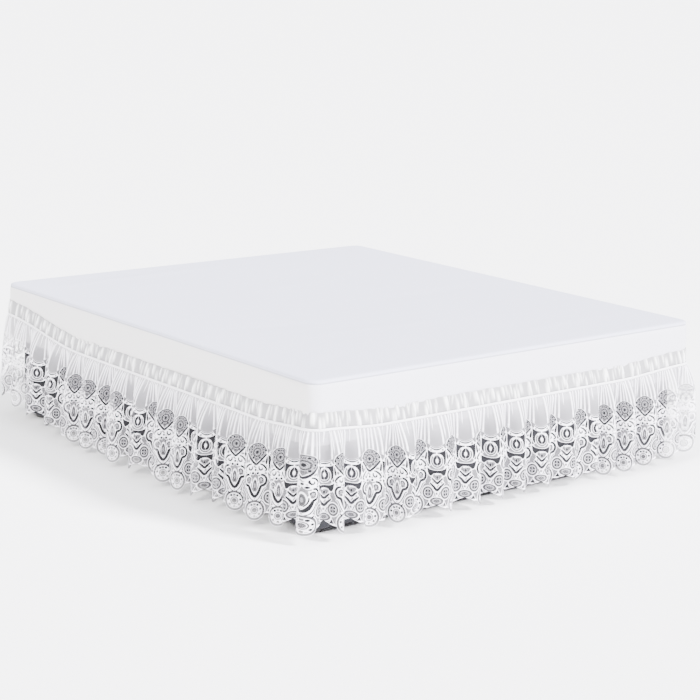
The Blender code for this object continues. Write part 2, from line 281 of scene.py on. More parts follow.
# Ovals of net. Columns: axis, centre x and y, half width, half height
NETS = (
    ("eye", 0.0, 202.6, 10.0, 10.5),
    ("eye", 0.0, 285.0, 15.5, 8.0),
    ("eye", 33.2, 256.4, 12.0, 13.4),
    ("leaf", 0.0, 214.0, 3.2, 11.0),
    ("leaf", 22.5, 197.0, 9.0, 11.0),
    ("leaf", 0.0, 299.0, 9.0, 9.0),
    ("leaf", 0.0, 99.0, 38.0, 29.0),
)
HEM_ARCH = 297.0
HEM_ARCH_FALL = 13.0
HEM_ARCH_HALF = 34.0
MEDALLION_AT = 299.0
MEDALLION_RADIUS = 36.0
# The tile's points: rows and columns of the plain top, steps of the grid below it and down its
# sides, points along the hem, how far the grid keeps from a gap, and steps along a gap's edge
TOP_ROWS = (0, 4, 9, 15, 23, 33, 44, 56, 68)
TOP_COLUMNS = 46
LOW_STEP = 8.0
SIDE_POINTS = 26
HEM_POINTS = 45
CLEAR_OF_GAPS = 2.8
PATH_STEP = 3.8
CURVE_STEPS = 8
MEETING_POINTS = 0.00002
# The plain cloth ends at this y on the eye's axis, and this much higher on the leaf's
PLAIN_END = 99.0
PLAIN_RISE = 31.0
# Cords of dense cloth beside each gap: whole as far as the first, gone from the second
CORD_WHOLE = 0.8
CORD_END = 2.6
# Shares of a ring's width at which its line starts to fade, and is gone
RING_CORE = 0.34
RING_EDGE = 0.6


# ---------------------------------------------------------------- settings


def colour_setting(name, description, default):
    return FloatVectorProperty(name=name, description=description, default=default,
                               subtype="COLOR", size=3, min=0.0, max=1.0)


def share_setting(name, description, default):
    return FloatProperty(name=name, description=description, default=default,
                         subtype="FACTOR", min=0.0, max=1.0)


def length_setting(name, description, default):
    return FloatProperty(name=name, description=description, default=default, unit="LENGTH")


class SkirtSettings(bpy.types.PropertyGroup):
    lace_colour: colour_setting("Lace", "Colour of the lace cloth", (0.90, 0.88, 0.94))
    sheer: share_setting("Sheerness", "How open the plain cloth above the lace is", 0.5)
    net_open: share_setting("Net", "How open the net inside the motifs is", 0.62)
    ground_open: share_setting("Ground", "How open the cloth between the cords is", 0.56)
    line_open: share_setting("Lines", "How open the thin lines round the motifs are", 0.34)
    # Painted shade in the thin lines round the motifs: how bright the cloth there stays
    line_shade_brightness: share_setting("Line depth", "How bright the cloth in the thin lines is", 0.10)
    weave: length_setting("Weave", "Pitch of the cloth's threads", 0.0011)


class FrillSettings(bpy.types.PropertyGroup):
    colour: colour_setting("Frill", "Colour of the frill and band", (0.87, 0.86, 0.89))
    thickness: length_setting("Thickness", "Thickness of the frill's cloth", 0.0007)


class MattressSettings(bpy.types.PropertyGroup):
    # Painted shade: this is the cover's colour on its top, set darker and bluer than the walls'
    # tones in the material, for how the light falls on the top
    colour: colour_setting("Cover", "Colour of the mattress cover", (0.56, 0.57, 0.69))
    crown: length_setting("Crown", "How much the top rises in its middle", 0.004)
    seam_depth: length_setting("Seam", "Depth of the seam along the top edge", 0.003)


class BaseSettings(bpy.types.PropertyGroup):
    # The base's wood is painted near black: its own dark colour, and also painted shade for the
    # space under the bed that shows through the lace
    wood_and_shade_colour: colour_setting("Base", "Colour of the bed base", (0.014, 0.014, 0.017))
    leg_colour: colour_setting("Legs", "Colour of the legs", (0.05, 0.05, 0.05))


class StageSettings(bpy.types.PropertyGroup):
    camera_place: FloatVectorProperty(
        name="Camera", description="Where the camera stands", subtype="TRANSLATION", size=3,
        default=(-4.4501, -5.5535, 1.9431))
    camera_turn: FloatVectorProperty(
        name="Turn", description="Yaw to the right of +Y, pitch down and roll, in degrees",
        size=3, default=(39.079, 12.646, 1.482))
    focal_pixels: FloatProperty(
        name="Focal length", description="In pixels of the picture", default=1871.8)
    floor_colour: colour_setting("Floor", "Colour of the floor", (0.97, 0.97, 0.97))


# ---------------------------------------------------------------- shader expressions


def maths_with(operation):
    """A method that adds a Math node with one other value."""
    def method(self, other):
        return self.maths(operation, other)
    return method


class Wire:
    """A socket on which sums are written as Python expressions."""

    def __init__(self, board, socket):
        self.board = board
        self.socket = socket

    def maths(self, operation, *others):
        return self.board.node("ShaderNodeMath", {"operation": operation}, (self, *others))

    __add__ = __radd__ = maths_with("ADD")
    __mul__ = __rmul__ = maths_with("MULTIPLY")
    __sub__ = maths_with("SUBTRACT")
    __truediv__ = maths_with("DIVIDE")
    __pow__ = maths_with("POWER")
    __lt__ = maths_with("LESS_THAN")
    __gt__ = maths_with("GREATER_THAN")
    least = maths_with("MINIMUM")
    most = maths_with("MAXIMUM")

    def __rsub__(self, other):
        return self.board.node("ShaderNodeMath", {"operation": "SUBTRACT"}, (other, self))

    def __abs__(self):
        return self.maths("ABSOLUTE")

    def sine(self):
        return self.maths("SINE")

    def root(self):
        return self.maths("SQRT")

    def step(self, low, high):
        """0 below low, 1 above high, smooth between."""
        return self.board.node(
            "ShaderNodeMapRange", {"interpolation_type": "SMOOTHSTEP", "clamp": True},
            {"Value": self, "From Min": low, "From Max": high, "To Min": 0.0, "To Max": 1.0})


class Board:
    """A material's node tree, with one way to add a node."""

    def __init__(self, name):
        self.material = bpy.data.materials.new(name)
        self.material.use_nodes = True
        self.tree = self.material.node_tree
        self.shader = self.tree.nodes["Principled BSDF"]

    def node(self, kind, settings=None, sockets=(), output=0):
        made = self.tree.nodes.new(kind)
        for key, value in (settings or {}).items():
            setattr(made, key, value)
        pairs = sockets.items() if isinstance(sockets, dict) else enumerate(sockets)
        for key, value in pairs:
            self.join(made.inputs[key], value)
        return Wire(self, made.outputs[output])

    def join(self, socket, value):
        if isinstance(value, Wire):
            self.tree.links.new(value.socket, socket)
        else:
            socket.default_value = value

    def parts(self, vector):
        made = self.tree.nodes.new("ShaderNodeSeparateXYZ")
        self.join(made.inputs[0], vector)
        return tuple(Wire(self, made.outputs[index]) for index in range(3))

    def object_place(self):
        return self.node("ShaderNodeTexCoord", output="Object")

    def cloth_map(self, name):
        return self.node("ShaderNodeUVMap", {"uv_map": name})

    def noise(self, place, scale, detail=3.0, rough=0.5):
        return self.node("ShaderNodeTexNoise", {"noise_dimensions": "3D"},
                         {"Vector": place, "Scale": scale, "Detail": detail,
                          "Roughness": rough})

    def mix(self, factor, first, second):
        """Two colours mixed."""
        made = self.tree.nodes.new("ShaderNodeMix")
        made.data_type = "RGBA"
        self.join(made.inputs[0], factor)
        self.join(made.inputs[6], first)
        self.join(made.inputs[7], second)
        return Wire(self, made.outputs[2])

    def bump(self, height, distance, strength=1.0):
        return self.node("ShaderNodeBump", {},
                         {"Height": height, "Distance": distance, "Strength": strength})

    def finish(self, colour, roughness, normal=None, alpha=None, sheen=0.0):
        self.join(self.shader.inputs["Base Color"], colour)
        self.join(self.shader.inputs["Roughness"], roughness)
        if normal is not None:
            self.join(self.shader.inputs["Normal"], normal)
        if alpha is not None:
            self.join(self.shader.inputs["Alpha"], alpha)
        self.shader.inputs["Sheen Weight"].default_value = sheen
        self.shader.inputs["Sheen Roughness"].default_value = 0.4
        self.shader.inputs["Specular IOR Level"].default_value = 0.25
        return self.material


def shade(colour, share):
    """A colour made darker or lighter by a share, with its alpha."""
    return (*(min(1.0, channel * share) for channel in colour), 1.0)


# ---------------------------------------------------------------- materials


def lace_material(settings):
    """White lace: a sheer plain top, dense cloth below, and net inside the motifs."""
    board = Board("white_lace")
    across, down, _ = board.parts(board.cloth_map("Lace"))
    x = abs((across - 0.5) * REPEAT_MM)
    y = down * (CLOTH_DROP / MM)

    def away_from(axis, centre_x, centre_y, half_width, half_height):
        """1 on an ellipse, less inside it."""
        from_axis = x if axis == "eye" else LEAF_AXIS - x
        return (((from_axis - centre_x) / half_width) ** 2.0
                + ((y - centre_y) / half_height) ** 2.0).root()

    threads_down = ((across * (2 * math.pi * LACE_REPEAT / settings.weave)).sine()) * 0.5 + 0.5
    threads_over = ((down * (2 * math.pi * CLOTH_DROP / settings.weave)).sine()) * 0.5 + 0.5
    weave = threads_down * threads_over

    slant_a = ((x + y) * (math.pi / NET_PITCH)).sine()
    slant_b = ((x - y) * (math.pi / NET_PITCH)).sine()
    meshes = (abs(slant_a).least(abs(slant_b))).step(0.22, 0.46)

    net = None
    for row in NETS:
        inside_oval = 1.0 - away_from(*row).step(0.92, 1.04)
        net = inside_oval if net is None else net.most(inside_oval)
    lines = None
    cords = 1.0 - board.node("ShaderNodeAttribute", {"attribute_name": "From gap"},
                             output="Fac").step(CORD_WHOLE, CORD_END)
    for *row, width, start, stop in RINGS:
        apart = abs(away_from(*row) - 1.0) * min(row[3], row[4])
        within = (y > start) * (y < stop)
        edge = RING_EDGE * width
        line = (1.0 - apart.step(RING_CORE * width, edge)) * within
        lines = line if lines is None else lines.most(line)
        cords = cords.most((1.0 - apart.step(edge + CORD_WHOLE, edge + CORD_END)) * within)

    plain_edge = PLAIN_END - PLAIN_RISE * x.step(0.0, LEAF_AXIS)
    plain = 1.0 - (y - plain_edge).step(-2.0, 1.5)
    crease = None
    for at, half_width, _, drop, slant in GATHERS:
        place = across - (0.5 + at) - y * (slant / FULL_DROP * MM)
        apart = abs(place - place.maths("ROUND"))
        line = 1.0 - apart.step(0.25 * half_width, 0.95 * half_width)
        line = line * (1.0 - (y * MM).step(0.55 * drop, 1.05 * drop))
        crease = line if crease is None else crease.most(line)
    sheer = settings.sheer * (1.0 - crease) * (0.70 + 0.5 * y.step(10.0, 85.0))

    ground = (1.0 - cords) * settings.ground_open
    open_share = (plain * sheer).most((1.0 - plain) * ground)
    open_share = open_share.most((1.0 - plain) * net * (settings.net_open * meshes + 0.10))
    open_share = open_share.most((1.0 - plain) * lines * settings.line_open)
    alpha = 1.0 - open_share.least(1.0)

    # Painted shade: the cloth is painted greyer in the net, in the open ground between the cords,
    # and between the gather crests of the plain top; crests and cords stay pale as lit cloth
    pale = shade(settings.lace_colour, 1.06)
    deep = shade(settings.lace_colour, settings.line_shade_brightness)
    painted_shade = shade(settings.lace_colour, 0.22)
    cloth_shade_mask = ((1.0 - plain) * (net * 0.5).most((1.0 - cords) * 0.85)).most(plain * (1.0 - crease) * 0.6)
    # Painted shade: the thin lines and the net's meshes are painted dark grey, as shadowed recesses
    line_shade_mask = (1.0 - plain) * lines.most(net * meshes * 0.8)
    colour = board.mix(line_shade_mask, board.mix(cloth_shade_mask, pale, painted_shade), deep)
    height = weave * 0.1 + (1.0 - net.most(lines)) * 0.2 + plain * crease
    return board.finish(colour, 0.78, board.bump(height, 0.0016, 0.5), alpha, sheen=0.15)


def frill_material(settings):
    board = Board("frill_cotton")
    place = board.object_place()
    mottle = board.noise(place, 14.0, 4.0)
    slub = board.noise(place, 900.0, 2.0)
    # Painted light and shade: from how far each point stands out on a ridge, the frill is painted
    # dark in the valleys between the gathers and light on their crests, with a random mottle
    crest = board.node("ShaderNodeAttribute", {"attribute_name": "Crest"}, output="Fac")
    crest_light = ((crest * 1.2).least(1.0)) ** 1.3
    colour = board.mix((crest_light + (mottle - 0.5) * 0.3).least(1.0).most(0.0),
                       shade(settings.colour, 0.36), shade(settings.colour, 1.2))
    return board.finish(colour, 0.82, board.bump(slub, 0.0003, 0.5), sheen=0.15)


def band_material(settings):
    board = Board("elastic_white")
    along, up, _ = board.parts(board.cloth_map("Band"))
    ribs = (along * (2 * math.pi / 0.0032)).sine() * 0.5 + 0.5
    rows = (up * (2 * math.pi * 3.0)).sine() * 0.5 + 0.5
    place = board.object_place()
    mottle = board.noise(place, 30.0)
    colour = board.mix(mottle * 0.6 + ribs * 0.2, shade(settings.colour, 0.97),
                       shade(settings.colour, 1.06))
    return board.finish(colour, 0.65, board.bump(ribs * 0.6 + rows * 0.4, 0.0005, 0.7),
                        sheen=0.1)


def cover_material(settings):
    board = Board("cover_white")
    place = board.object_place()
    x, y, z = board.parts(place)
    weave = ((x * 2600.0).sine() * (y * 2600.0).sine()) * 0.5 + 0.5
    broad = board.noise(place, 2.2, 3.0)
    fine = board.noise(place, 260.0, 3.0)
    side = 1.0 - (z - MATTRESS_HIGH[2]).step(-0.016, -0.006)
    tone = (broad - 0.5) * 0.9 + 0.5
    # Painted light and shade: the top, the long walls and the foot wall take different tones and
    # tints of the one cover, darker and bluer on the top, warmer on the long walls and bluer on the
    # foot wall, for how the light falls on each face; the broad noise is a random tone
    top = board.mix(tone, shade(settings.colour, 0.975), shade(settings.colour, 1.02))
    flank_painted_light = board.mix(tone, (0.71, 0.695, 0.695, 1.0), (0.74, 0.725, 0.725, 1.0))
    foot = board.mix(tone, (0.66, 0.655, 0.72, 1.0), (0.69, 0.685, 0.75, 1.0))
    wall = board.mix(1.0 - (y + BED_LENGTH / 2).step(0.0, 0.04), flank_painted_light, foot)
    # Painted shade: a dark line painted along the seam groove under the top edge
    seam_shade = 1.0 - abs(z - (MATTRESS_HIGH[2] - 0.0120)).step(0.0012, 0.0032)
    colour = board.mix(seam_shade * 0.8, board.mix(side, top, wall), shade(settings.colour, 0.62))
    height = weave * 0.4 + fine * 0.6
    return board.finish(colour, 0.85, board.bump(height, 0.0004, 0.35), sheen=0.1)


def base_material(settings):
    board = Board("base_grey")
    place = board.object_place()
    x, _, _ = board.parts(place)
    drift = board.noise(place, 3.0, 4.0)
    rings = ((x * 46.0 + drift * 9.0).sine() * 0.5 + 0.5) ** 3.0
    fibre = board.noise(place, 160.0, 4.0)
    # Wood grain over a near-black colour that is partly painted shade for the space under the bed
    colour = board.mix(rings * 0.6 + fibre * 0.3, shade(settings.wood_and_shade_colour, 1.1),
                       shade(settings.wood_and_shade_colour, 0.72))
    return board.finish(colour, 0.55 + fibre * 0.25, board.bump(rings + fibre, 0.0005, 0.4))


def leg_material(settings):
    board = Board("leg_black")
    place = board.object_place()
    grain = board.noise(place, 420.0, 3.0)
    _, _, z = board.parts(place)
    worn = 1.0 - z.step(0.0, 0.02)
    colour = board.mix(worn * 0.6 + grain * 0.25, shade(settings.leg_colour, 1.0),
                       shade(settings.leg_colour, 2.4))
    return board.finish(colour, 0.4 + grain * 0.2, board.bump(grain, 0.0003, 0.4))


# ---------------------------------------------------------------- the way round the mattress

HALF_ARC = math.pi / 4 * CORNER_RADIUS
SIDE_SPANS = tuple(size - 2 * CORNER_RADIUS for size in (BED_WIDTH, BED_LENGTH) * 2)
SIDE_STARTS = tuple(np.cumsum([0.0] + [span + 2 * HALF_ARC for span in SIDE_SPANS]))
ROUND_LENGTH = SIDE_STARTS[-1]


def outline(along, out):
    """X and Y of points some way round the mattress, counted from the middle of its left foot
    corner and counterclockwise, and some way out from its side."""
    along = np.mod(along, ROUND_LENGTH)
    side = np.searchsorted(SIDE_STARTS, along, side="right") - 1
    side = np.clip(side, 0, 3)
    span = np.array(SIDE_SPANS)[side]
    run = along - np.array(SIDE_STARTS)[side] - HALF_ARC
    straight = np.clip(run, 0.0, span)
    turn = (run - straight) / CORNER_RADIUS
    heading = side * math.pi / 2
    forward = np.stack([np.cos(heading), np.sin(heading)])
    outward = np.stack([np.sin(heading), -np.cos(heading)])
    half_depth = np.where(side % 2 == 0, BED_LENGTH, BED_WIDTH) / 2 - CORNER_RADIUS
    centre = (straight - span / 2) * forward + half_depth * outward
    return centre + (CORNER_RADIUS + out) * (np.cos(turn) * outward + np.sin(turn) * forward)


def lift(along):
    """How far the band rides up at points round the mattress."""
    rise = np.zeros_like(along)
    for corner, (height, reach) in zip(SIDE_STARTS, CORNER_LIFTS):
        away = np.mod(along - corner + ROUND_LENGTH / 2, ROUND_LENGTH) - ROUND_LENGTH / 2
        rise += height * (0.5 + 0.5 * np.cos(math.pi * np.clip(away / reach, -1.0, 1.0)))
    return rise


def dip(phase):
    """Share of a fold's depth, from 0 on a crest to 1 in the valley."""
    return (0.5 - 0.5 * np.cos(2 * math.pi * phase)) ** VALLEY_SHARPNESS


def fold_depth(pitch, cloth):
    """How deep a fold hangs when this much cloth lies between two crests."""
    phase = np.linspace(0.0, 1.0, FOLD_STEPS + 1)
    depths = np.linspace(LEAST_DEPTH, MOST_DEPTH, 28)
    dips = np.diff(dip(phase))
    lengths = [np.hypot(pitch / FOLD_STEPS, depth * dips).sum() for depth in depths]
    return float(np.interp(cloth, lengths, depths))


def ring_of_folds():
    """Crests and lace counts of the whole ring, counterclockwise: foot, right, head, left."""
    mirrored = []
    counts = [laces for _, laces in SIDE_FOLDS] + [SIDE_FOLDS[-1][1]]
    for index in range(len(SIDE_FOLDS) - 1, -1, -1):
        mirrored.append((SIDE_STARTS[2] - SIDE_STARTS[1] - SIDE_FOLDS[index][0],
                         counts[index + 1]))
    crests = []
    laces = []
    for side, rows in enumerate((FOOT_FOLDS, SIDE_FOLDS, FOOT_FOLDS, mirrored)):
        for crest, count in rows:
            crests.append(SIDE_STARTS[side] + crest)
            laces.append(count)
    head = slice(len(FOOT_FOLDS) + len(SIDE_FOLDS), 2 * len(FOOT_FOLDS) + len(SIDE_FOLDS))
    laces = np.array(laces)
    laces[head] += (round(laces.sum()) - laces.sum()) / len(FOOT_FOLDS)
    return np.array(crests), laces


def fold_map():
    """Number of lace repeats, and three tables that run round the ring: lace repeats, way round,
    and how far out the cloth hangs at its hem."""
    crests, laces = ring_of_folds()
    count = len(crests)
    pitches = np.diff(np.append(crests, crests[0] + ROUND_LENGTH))
    to_next = np.roll(laces, -1)
    depths = np.array([fold_depth(p, n * LACE_REPEAT) for p, n in zip(pitches, to_next)])
    crest_out = VALLEY_OUT + (depths + np.roll(depths, 1)) / 2
    phase = np.arange(FOLD_STEPS) / FOLD_STEPS
    lace, way, out = [], [], []
    lace_at_crest = FIRST_CREST_LACE
    for fold in range(count):
        line = crest_out[fold] * (1 - phase) + crest_out[(fold + 1) % count] * phase
        fold_out = np.maximum(line - depths[fold] * dip(phase), LEAST_OUT)
        steps = np.hypot(pitches[fold] / FOLD_STEPS, np.diff(fold_out, append=line[-1]))
        share = np.append(0.0, np.cumsum(steps))[:-1] / steps.sum()
        lace.extend(lace_at_crest + share * to_next[fold])
        way.extend(crests[fold] + phase * pitches[fold])
        out.extend(fold_out)
        lace_at_crest += to_next[fold]
    repeats = round(laces.sum())
    lace, way, out = np.array(lace), np.array(way), np.array(out)
    lace = np.concatenate([lace - repeats, lace, lace + repeats])
    way = np.concatenate([way - ROUND_LENGTH, way, way + ROUND_LENGTH])
    return repeats, lace, way, np.tile(out, 3)


def gathers_out(lace_at, drop):
    """How far the fine gathers under the band stand out."""
    total = np.zeros_like(lace_at)
    for number, (at, half_width, out, length, slant) in enumerate(GATHERS):
        place = lace_at - at - slant * drop / FULL_DROP
        repeat = np.round(place)
        apart = place - repeat
        waver = 1 + GATHER_WAVER * np.sin(repeat * 2.3 + number * 1.9)
        fade = np.clip(1 - drop / (1.15 * length), 0.0, 1.0)
        fade = fade * fade * (3 - 2 * fade)
        ridge = np.exp(-((apart / half_width) ** 2) * 2.2)
        total = np.maximum(total, out * waver * fade * ridge)
    return total


def hang(lace_at, drop, folds):
    """World points of the hanging cloth, from a place in lace repeats and a drop."""
    _, lace, way, out = folds
    along = np.interp(lace_at, lace, way)
    hem_out = np.interp(lace_at, lace, out)
    flare = 1 - (1 - np.clip(drop / FULL_DROP, 0.0, 1.0)) ** FLARE_POWER
    spread = TOP_FULLNESS + (1 - TOP_FULLNESS) * flare
    reach = SKIRT_TOP_OUT + (hem_out - SKIRT_TOP_OUT) * spread
    sewn = np.exp(-drop / SEWN_FADE)
    reach = reach * (1 - sewn) + SEWN_OUT * sewn
    reach = reach + gathers_out(lace_at, drop) * np.clip(0.25 + drop / 0.012, 0.0, 1.0)
    x, y = outline(along, reach)
    return np.stack([x, y, BAND_FOOT - BAND_CLEARANCE - drop + lift(along)])


# ---------------------------------------------------------------- meshes


def new_piece(name, points, faces, material):
    """A smooth object made of points and faces."""
    mesh = bpy.data.meshes.new(name)
    mesh.from_pydata([tuple(p) for p in points], [], [tuple(f) for f in faces])
    mesh.materials.append(material)
    piece = bpy.data.objects.new(name, mesh)
    bpy.context.scene.collection.objects.link(piece)
    mesh.shade_smooth()
    return piece


def close_seams(piece):
    """Join the points that meet, and turn the faces one way."""
    shape = bmesh.new()
    shape.from_mesh(piece.data)
    bmesh.ops.remove_doubles(shape, verts=shape.verts, dist=MEETING_POINTS)
    bmesh.ops.recalc_face_normals(shape, faces=shape.faces)
    shape.to_mesh(piece.data)
    shape.free()


def ring_faces(columns, rows):
    """Quads of a closed ring of columns and rows of points, stored row by row."""
    faces = []
    for row in range(rows - 1):
        for column in range(columns):
            after = (column + 1) % columns
            faces.append((row * columns + column, row * columns + after,
                          (row + 1) * columns + after, (row + 1) * columns + column))
    return faces


def apply_all(piece):
    """Apply a piece's modifiers."""
    bpy.ops.object.select_all(action="DESELECT")
    piece.select_set(True)
    bpy.context.view_layer.objects.active = piece
    for modifier in list(piece.modifiers):
        bpy.ops.object.modifier_apply(modifier=modifier.name)


# ---------------------------------------------------------------- the flat lace


def curve_at(a, b, c, d, t):
    """A point between b and c on a smooth curve through four points."""
    return 0.5 * (2 * b + (c - a) * t + (2 * a - 5 * b + 4 * c - d) * t * t
                  + (3 * b - a - 3 * c + d) * t ** 3)


def smooth_path(path, step):
    """Points a step apart along a smooth curve through a path's points."""
    knots = np.array(path, float)
    ends = np.vstack([2 * knots[0] - knots[1], knots, 2 * knots[-1] - knots[-2]])
    curve = []
    for index in range(1, len(ends) - 2):
        near = ends[index - 1:index + 3]
        curve.extend(curve_at(*near, t) for t in np.linspace(0, 1, CURVE_STEPS, endpoint=False))
    curve.append(knots[-1])
    curve = np.array(curve)
    way = np.append(0.0, np.cumsum(np.hypot(*np.diff(curve, axis=0).T)))
    count = max(3, int(round(way[-1] / step)) + 1)
    at = np.linspace(0, way[-1], count)
    return np.stack([np.interp(at, way, curve[:, 0]), np.interp(at, way, curve[:, 1])], 1)


def closed_loop(outline_points, step):
    """Points about a step apart along a smooth closed curve through an outline's points."""
    knots = np.array(outline_points, float)
    curve = []
    for index in range(len(knots)):
        near = [knots[(index + shift) % len(knots)] for shift in (-1, 0, 1, 2)]
        pieces = max(1, int(round(math.hypot(*(near[2] - near[1])) / step)))
        curve.extend(curve_at(*near, t) for t in np.arange(pieces) / pieces)
    return np.array(curve)


def ribbon_loop(path, widths):
    """The closed outline of a ribbon along a path, tapered from its middle to its ends."""
    line = smooth_path(path, PATH_STEP)
    tangent = np.gradient(line, axis=0)
    tangent /= np.hypot(*tangent.T)[:, None]
    normal = np.stack([-tangent[:, 1], tangent[:, 0]], 1)
    at = np.linspace(0, 1, len(line))
    start, middle, end = widths
    half = np.interp(at, (0, 0.25, 0.5, 0.75, 1),
                     (start, (start + 2 * middle) / 3, middle, (end + 2 * middle) / 3, end)) / 2
    left = line + normal * half[:, None]
    right = line - normal * half[:, None]
    return np.vstack([left, right[::-1]])


def on_axis(loop, axis, side):
    """A loop whose x counts from an axis, put in the repeat, on one side of the eye axis."""
    placed = loop.copy()
    if axis == "leaf":
        placed[:, 0] = LEAF_AXIS - placed[:, 0]
    placed[:, 0] *= side
    return placed


def both_sides(loop, axis, mirrored):
    """A gap's copies in the repeat. The leaf's axis is the border of two repeats, so each of its
    gaps comes twice."""
    sides = (1, -1) if mirrored or axis == "leaf" else (1,)
    return [on_axis(loop, axis, side) for side in sides]


def lace_gaps():
    """The closed outlines of all the gaps of one repeat."""
    loops = []
    for axis, mirrored, widths, path in RIBBONS:
        loops.extend(both_sides(ribbon_loop(path, widths), axis, mirrored))
    for axis, mirrored, points in PATCHES:
        loops.extend(both_sides(closed_loop(points, PATH_STEP), axis, mirrored))
    for axis, mirrored, x, y, half_width, half_height, sides in DOTS:
        turn = np.arange(sides) / sides * 2 * math.pi - math.pi / 2
        loop = np.stack([x + half_width * np.cos(turn), y + half_height * np.sin(turn)], 1)
        loops.extend(both_sides(loop, axis, mirrored))
    return loops


def hem_drop(x):
    """How far down the scalloped hem hangs, from the distance to the eye axis."""
    x = abs(x)
    arch = HEM_ARCH + HEM_ARCH_FALL * min(1.0, x / HEM_ARCH_HALF)
    from_leaf = LEAF_AXIS - x
    if from_leaf >= MEDALLION_RADIUS:
        return arch
    return max(arch, MEDALLION_AT + math.sqrt(MEDALLION_RADIUS ** 2 - from_leaf ** 2))


def hem_line(start, end):
    """Points along the hem between two places, counted from the eye's axis."""
    return [(x, hem_drop(x)) for x in np.linspace(start, end, HEM_POINTS)]


def tile_outline():
    """The closed outline of one flat repeat."""
    xs = np.linspace(-LEAF_AXIS, LEAF_AXIS, TOP_COLUMNS + 1)
    top = [(x, 0.0) for x in xs]
    low = hem_drop(LEAF_AXIS)
    below = np.linspace(TOP_ROWS[-1], low, SIDE_POINTS)[1:]
    side_rows = list(TOP_ROWS[1:]) + list(below[:-1])
    right = [(LEAF_AXIS, y) for y in side_rows]
    left = [(-LEAF_AXIS, y) for y in reversed(side_rows)]
    return np.array(top + right + hem_line(LEAF_AXIS, -LEAF_AXIS) + left)


def inside(points, loop):
    """True for points inside a closed loop."""
    odd = np.zeros(len(points), bool)
    x, y = points.T
    for (x0, y0), (x1, y1) in zip(loop, np.roll(loop, -1, axis=0)):
        if y0 == y1:
            continue
        crosses = (y0 > y) != (y1 > y)
        odd ^= crosses & (x < (x1 - x0) * (y - y0) / (y1 - y0) + x0)
    return odd


def on_cloth(points, border, gaps):
    """True for points inside the border and outside every gap."""
    kept = inside(points, border)
    for gap in gaps:
        kept &= ~inside(points, gap)
    return kept


def nearest_edge(points, loops):
    """How far points are from the nearest edge of some loops."""
    nearest = np.full(len(points), 1e9)
    for loop in loops:
        start = loop[:, None, :]
        run = (np.roll(loop, -1, axis=0) - loop)[:, None, :]
        share = ((points[None] - start) * run).sum(-1) / np.maximum((run ** 2).sum(-1), 1e-9)
        foot = start + np.clip(share, 0, 1)[..., None] * run
        nearest = np.minimum(nearest, np.sqrt(((points[None] - foot) ** 2).sum(-1)).min(0))
    return nearest


def lace_tile():
    """Points and triangles of one flat lace repeat, in millimetres, and how far each point is
    from a gap or the hem."""
    border = tile_outline()
    gaps = lace_gaps()
    xs = np.linspace(-LEAF_AXIS, LEAF_AXIS, TOP_COLUMNS + 1)[1:-1]
    grid = [(x, y) for y in TOP_ROWS[1:] for x in xs]
    low_rows = np.arange(TOP_ROWS[-1] + LOW_STEP, CLOTH_DROP / MM, LOW_STEP)
    for number, y in enumerate(low_rows):
        shift = LOW_STEP / 2 if number % 2 else 0.0
        grid.extend((x, y) for x in np.arange(-LEAF_AXIS + LOW_STEP / 2 + shift, LEAF_AXIS,
                                              LOW_STEP))
    grid = np.array(grid)
    top = grid[:, 1] <= TOP_ROWS[-1]
    keep = (nearest_edge(grid, gaps) > CLEAR_OF_GAPS) & on_cloth(grid, border, gaps)
    keep &= top | (nearest_edge(grid, [border]) > CLEAR_OF_GAPS)
    points = []
    edges = []
    for loop in [border] + gaps:
        first = len(points)
        count = len(loop)
        points.extend(loop)
        edges.extend((first + i, first + (i + 1) % count) for i in range(count))
    points.extend(grid[keep])
    made = geometry.delaunay_2d_cdt([Vector(p) for p in points], edges, [], 0, 1e-5)
    flat = np.array([tuple(v) for v in made[0]])
    faces = np.array([f for f in made[2] if len(f) == 3])
    middles = flat[faces].mean(axis=1)
    hem = np.array(hem_line(-LEAF_AXIS, LEAF_AXIS))
    hem = np.vstack([hem, hem[::-1]])
    return flat, faces[on_cloth(middles, border, gaps)], nearest_edge(flat, gaps + [hem])


# ---------------------------------------------------------------- operators


class BEDSKIRT_OT_lace(bpy.types.Operator):
    """Hang the lace skirt under the band"""
    bl_idname = "bedskirt.lace"
    bl_label = "Lace skirt"

    def execute(self, context):
        settings = context.scene.bedskirt_lace
        folds = fold_map()
        repeats = folds[0]
        flat, faces, from_gap = lace_tile()
        used = np.unique(faces)
        number = np.full(len(flat), -1)
        number[used] = np.arange(len(used))
        flat, faces, from_gap = flat[used], number[faces], from_gap[used]
        points = []
        triangles = []
        for repeat in range(repeats):
            lace_at = repeat + flat[:, 0] / REPEAT_MM
            points.append(hang(lace_at, flat[:, 1] * MM, folds).T)
            triangles.append(faces + repeat * len(flat))
        piece = new_piece("lace_skirt_cloth", np.vstack(points), np.vstack(triangles),
                          lace_material(settings))
        gap_layer = piece.data.attributes.new("From gap", "FLOAT", "POINT")
        gap_layer.data.foreach_set("value", np.tile(from_gap, repeats))
        corner_points = np.tile(faces.ravel(), repeats)
        uv = np.stack([flat[corner_points, 0] / REPEAT_MM + 0.5,
                       flat[corner_points, 1] * MM / CLOTH_DROP], 1).astype(np.float32)
        for name in ("Lace", "OFBake"):
            layer = piece.data.uv_layers.new(name=name)
            layer.uv.foreach_set("vector", uv.ravel())
        piece.data.uv_layers["Lace"].active_render = True
        close_seams(piece)
        piece.data.shade_smooth()
        cut_area = flat_area(flat, faces) * repeats * MM * MM
        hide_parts("lace_skirt")
        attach(piece, "root")
        repeats * LACE_REPEAT
        return {"FINISHED"}


def flat_area(flat, faces):
    """Area of flat triangles."""
    a, b, c = flat[faces[:, 0]], flat[faces[:, 1]], flat[faces[:, 2]]
    return float(np.abs(np.cross(b - a, c - a)).sum() / 2)


